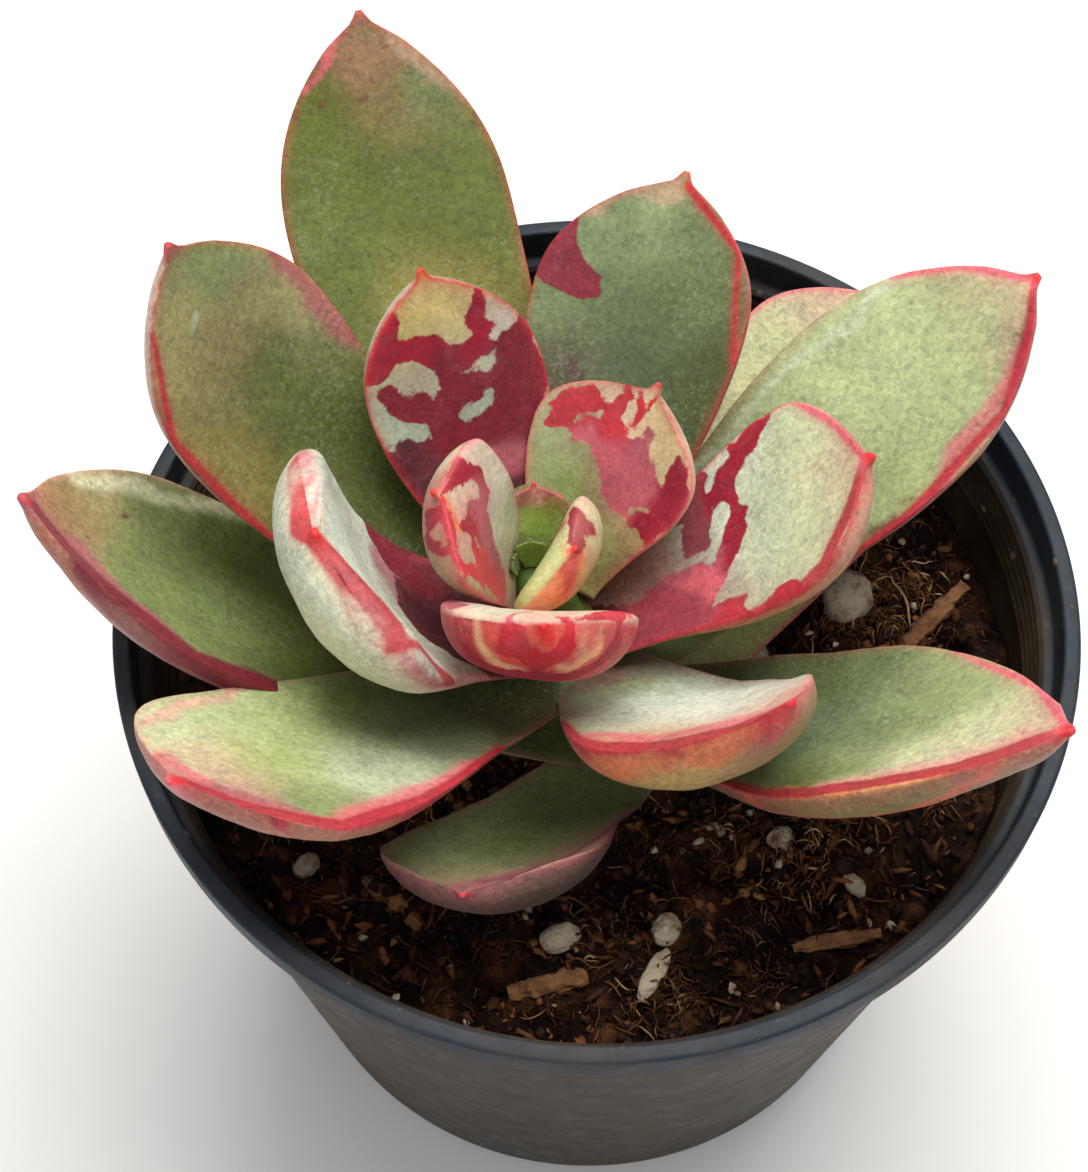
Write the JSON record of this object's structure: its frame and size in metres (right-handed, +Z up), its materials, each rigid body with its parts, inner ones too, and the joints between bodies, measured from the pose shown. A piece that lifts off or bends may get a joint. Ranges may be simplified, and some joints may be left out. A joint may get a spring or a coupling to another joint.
{
  "type": "potted echeveria",
  "caption": "Succulent rosette of pointed fleshy leaves with red margins and crimson marbling, leaning on a short stem, in a round tapered nursery pot of dark soil with perlite and bark.",
  "frame": {"origin": "On the pot's axis at the middle of its flat base, on the surface that the pot stands on", "axes": "+Z up along the pot's axis, +X to the viewer's right, +Y away from the viewer of the picture"},
  "size_m": [0.1052, 0.1052, 0.1125],
  "materials": {
    "pot_plastic": "matt black moulded plastic, slightly blue on the rim, dusty and scuffed",
    "soil_mix": "rough dark peat and coir, damp",
    "stem_skin": "dull yellow-green and tan plant stem",
    "outer_leaf": "waxy bloom, sage green with red margins",
    "heart_leaf": "waxy, crimson and cream marbling with pink margins",
    "perlite_grain": "chalky expanded mineral, slightly soiled",
    "bark_sliver": "raw orange-brown fibrous bark"
  },
  "bodies": {
    "root": {"pot": "pot_plastic", "soil": "soil_mix", "stem": "stem_skin", "leaf_bud_left": "heart_leaf", "leaf_bud_right": "heart_leaf", "leaf_heart_back": "heart_leaf", "leaf_heart_front": "heart_leaf", "leaf_heart_left": "heart_leaf", "leaf_heart_right": "heart_leaf", "leaf_front_near": "heart_leaf", "leaf_back_mid": "heart_leaf", "leaf_left_near": "outer_leaf", "leaf_right_mid": "outer_leaf", "leaf_back_right": "outer_leaf", "leaf_right_near": "outer_leaf", "leaf_back_left": "outer_leaf", "leaf_left_front": "outer_leaf", "leaf_right_back": "outer_leaf", "leaf_back_tall": "outer_leaf", "leaf_right_front": "outer_leaf", "leaf_left": "outer_leaf", "leaf_right_hidden": "outer_leaf", "leaf_front_low": "outer_leaf", "perlite_1": "perlite_grain", "perlite_2": "perlite_grain", "perlite_3": "perlite_grain", "perlite_4": "perlite_grain", "perlite_5": "perlite_grain", "perlite_6": "perlite_grain", "perlite_7": "perlite_grain", "perlite_8": "perlite_grain", "perlite_9": "perlite_grain", "perlite_10": "perlite_grain", "perlite_11": "perlite_grain", "bark_1": "bark_sliver", "bark_2": "bark_sliver", "bark_3": "bark_sliver", "bark_4": "bark_sliver"}
  },
  "joints": []
}
